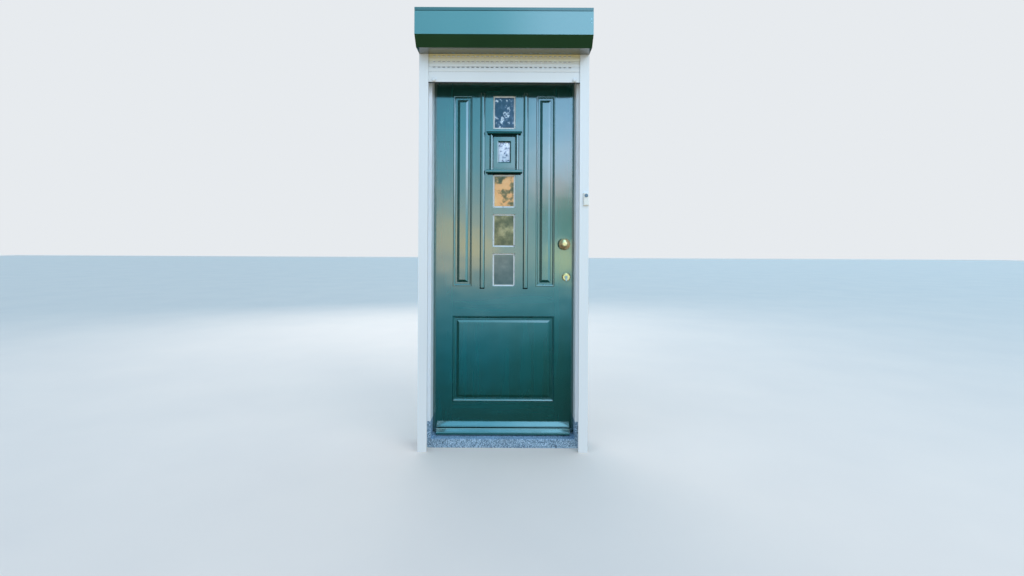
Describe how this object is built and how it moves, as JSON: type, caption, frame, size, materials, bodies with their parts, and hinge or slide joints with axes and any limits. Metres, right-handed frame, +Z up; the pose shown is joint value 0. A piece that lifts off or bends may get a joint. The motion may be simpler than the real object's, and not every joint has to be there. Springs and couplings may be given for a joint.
{
  "type": "panelled front door with roller shutter",
  "caption": "Panelled front door in a timber frame on a stone threshold, with glazed centre strip, small hatch, weather bar, lock and an outside roller shutter.",
  "frame": {"origin": "middle of the threshold's underside, at half the depth of the door frame", "axes": "+X to the right seen from the street, +Y into the house, +Z up"},
  "size_m": [0.984, 0.416, 2.498],
  "materials": {
    "stone": "speckled, honed",
    "frame_paint": "painted white, satin",
    "door_paint": "painted dark green, high gloss",
    "rubber": "matt",
    "brush": "short dark pile",
    "steel": "satin",
    "brass": "polished",
    "glass": "clear, bevelled",
    "packer_wood": "painted white",
    "shutter_white": "white coated",
    "box_green": "dark green coated, gloss",
    "chamfer_dark": "very dark coated",
    "cast_plate": "plain",
    "zinc": "zinc plated",
    "bell_white": "glossy",
    "bell_blue": "glossy",
    "white_stop": "glossy"
  },
  "bodies": {
    "frame": {"threshold_stone": "stone", "plinth_blocks": "stone", "left_jamb": "frame_paint", "right_jamb": "frame_paint", "frame_head": "frame_paint", "frame_gasket": "rubber", "strike_plate": "brass", "frame_hinge_leaves": "brass", "hinge_pins": "brass", "rail_packers": "packer_wood", "guide_rails": "shutter_white", "guide_brushes": "brush", "box_end_plates": "cast_plate", "box_back_plate": "box_green", "box_front_cover": "box_green", "box_inspection_cover": "chamfer_dark", "box_bottom_profile": "chamfer_dark", "box_lid": "box_green", "tube_motor": "zinc", "idler_bearing": "zinc", "bell_plate": "bell_white"},
    "roller": {"roller_tube": "zinc", "rolled_curtain": "shutter_white"},
    "curtain": {"curtain_slats": "shutter_white", "end_slat": "shutter_white", "end_slat_seal": "rubber", "end_slat_stops": "white_stop"},
    "bell": {"bell_button": "bell_blue"},
    "leaf": {"hinge_stile": "door_paint", "lock_stile": "door_paint", "top_rail": "door_paint", "lock_rail": "door_paint", "bottom_rail": "door_paint", "muntins": "door_paint", "glazing_bars": "door_paint", "side_panels": "door_paint", "bottom_panel": "door_paint", "panel_mouldings": "door_paint", "half_rounds": "door_paint", "glass_panes": "glass", "glazing_beads": "door_paint", "hatch_surround": "door_paint", "hatch_hinge_leaves": "brass", "weather_bar": "door_paint", "door_knob": "brass", "knob_rose": "brass", "knob_bolt": "brass", "lock_case": "zinc", "lock_cylinder": "steel", "lock_roses": "brass", "door_hinge_leaves": "brass"},
    "hatch": {"hatch_frame": "door_paint", "hatch_glass": "glass", "hatch_beads": "door_paint", "hatch_flaps": "brass", "hatch_knob": "brass"},
    "lever": {"lever_handle": "brass"},
    "latch": {"latch_bolt": "steel"},
    "lock_bolt": {"dead_bolt": "steel"},
    "plug": {"cylinder_plug": "steel"}
  },
  "joints": [
    {"name": "leaf_hinge", "type": "hinge", "parent": "frame", "child": "leaf", "pos_m": [-0.44125, 0.077, 1.137], "axis": [0, 0, 1], "range_deg": [0, 100]},
    {"name": "hatch_hinge", "type": "hinge", "parent": "leaf", "child": "hatch", "pos_m": [-0.0735, 0.0725, 1.762], "axis": [0, 0, 1], "range_deg": [0, 100]},
    {"name": "lever_turn", "type": "hinge", "parent": "leaf", "child": "lever", "pos_m": [0.38, 0.0485, 1.075], "axis": [0, -1, 0], "range_deg": [0, 40], "stiffness_Nm_per_rad": 0.8, "springref_deg": -34.38},
    {"name": "latch_slide", "type": "slide", "parent": "leaf", "child": "latch", "axis": [-1, 0, 0], "range_m": [0, 0.012]},
    {"name": "plug_turn", "type": "hinge", "parent": "leaf", "child": "plug", "pos_m": [0.38, 0.0485, 1.003], "axis": [0, 1, 0], "range_deg": [0, 360]},
    {"name": "bolt_slide", "type": "slide", "parent": "leaf", "child": "lock_bolt", "axis": [1, 0, 0], "range_m": [0, 0.02]},
    {"name": "bell_press", "type": "slide", "parent": "frame", "child": "bell", "axis": [0, 1, 0], "range_m": [0, 0.002], "stiffness_N_per_m": 400, "springref_m": -0.002},
    {"name": "roller_turn", "type": "hinge", "parent": "frame", "child": "roller", "pos_m": [0, -0.20323, 2.398], "axis": [1, 0, 0], "range_deg": [-42.98, 89.53]},
    {"name": "curtain_slide", "type": "slide", "parent": "frame", "child": "curtain", "axis": [0, 0, 1], "range_m": [-0.06, 0.125]}
  ],
  "couplings": [
    {"joint": "latch_slide", "follows": "lever_turn", "m_per_rad": 0.017188},
    {"joint": "plug_turn", "follows": "bolt_slide", "rad_per_m": 314.16},
    {"joint": "roller_turn", "follows": "curtain_slide", "rad_per_m": 12.5}
  ]
}
